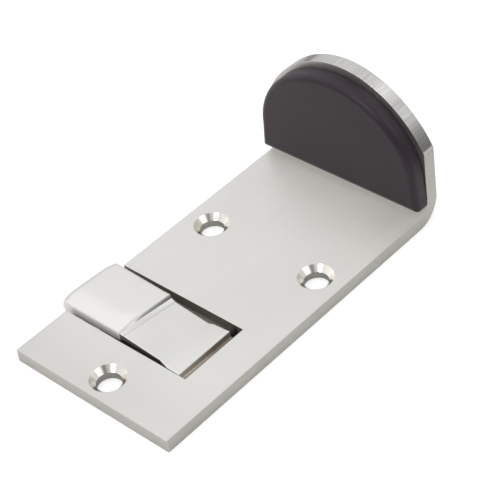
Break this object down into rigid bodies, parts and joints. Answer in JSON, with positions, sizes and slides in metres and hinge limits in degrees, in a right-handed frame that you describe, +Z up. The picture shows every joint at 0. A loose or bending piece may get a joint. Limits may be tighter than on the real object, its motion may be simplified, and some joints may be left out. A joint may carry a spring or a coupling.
{
  "type": "floor door holder",
  "caption": "Bent steel base plate screwed to the floor, with a rubber buffer on its arched upstand and a sprung foot-release catch that keeps the door against it.",
  "frame": {"origin": "on the underside of the base plate, on its centre line across the door's travel, midway between the two rear floor screw holes", "axes": "+Y along the plate towards the upstand, the way the door travels; +X to the right, away from the catch's overhanging end; +Z up from the floor"},
  "size_m": [0.0594, 0.1075, 0.0418],
  "materials": {
    "brushed_plate": "finely brushed stainless steel",
    "catch_steel": "satin stainless casting, lightly polished",
    "rubber": "matt black rubber",
    "insert_brass": "turned brass",
    "screw_steel": "bright stainless screw",
    "pin_steel": "ground steel pin",
    "spacer_plastic": "black nylon",
    "spring_steel": "drawn spring wire",
    "keeper_steel": "plain rolled sheet"
  },
  "bodies": {
    "base": {"base_plate": "brushed_plate", "buffer_pad": "rubber", "pad_insert_left": "insert_brass", "pad_insert_right": "insert_brass", "pad_screw_left": "screw_steel", "pad_screw_right": "screw_steel", "pivot_pin": "pin_steel", "pivot_spacer": "spacer_plastic", "return_spring_front": "spring_steel", "return_spring_rear": "spring_steel", "keeper_plate": "keeper_steel", "keeper_screw_1": "screw_steel", "keeper_screw_2": "screw_steel", "keeper_screw_3": "screw_steel", "keeper_screw_4": "screw_steel"},
    "catch": {"catch_lever": "catch_steel"}
  },
  "joints": [
    {"name": "catch_hinge", "type": "hinge", "parent": "base", "child": "catch", "pos_m": [0.0128, -0.0371, 0.00242], "axis": [0, -1, 0], "range_deg": [0, 2.6], "stiffness_Nm_per_rad": 0.6, "springref_deg": -8.02, "deforming": ["return_spring_front", "return_spring_rear"]}
  ]
}
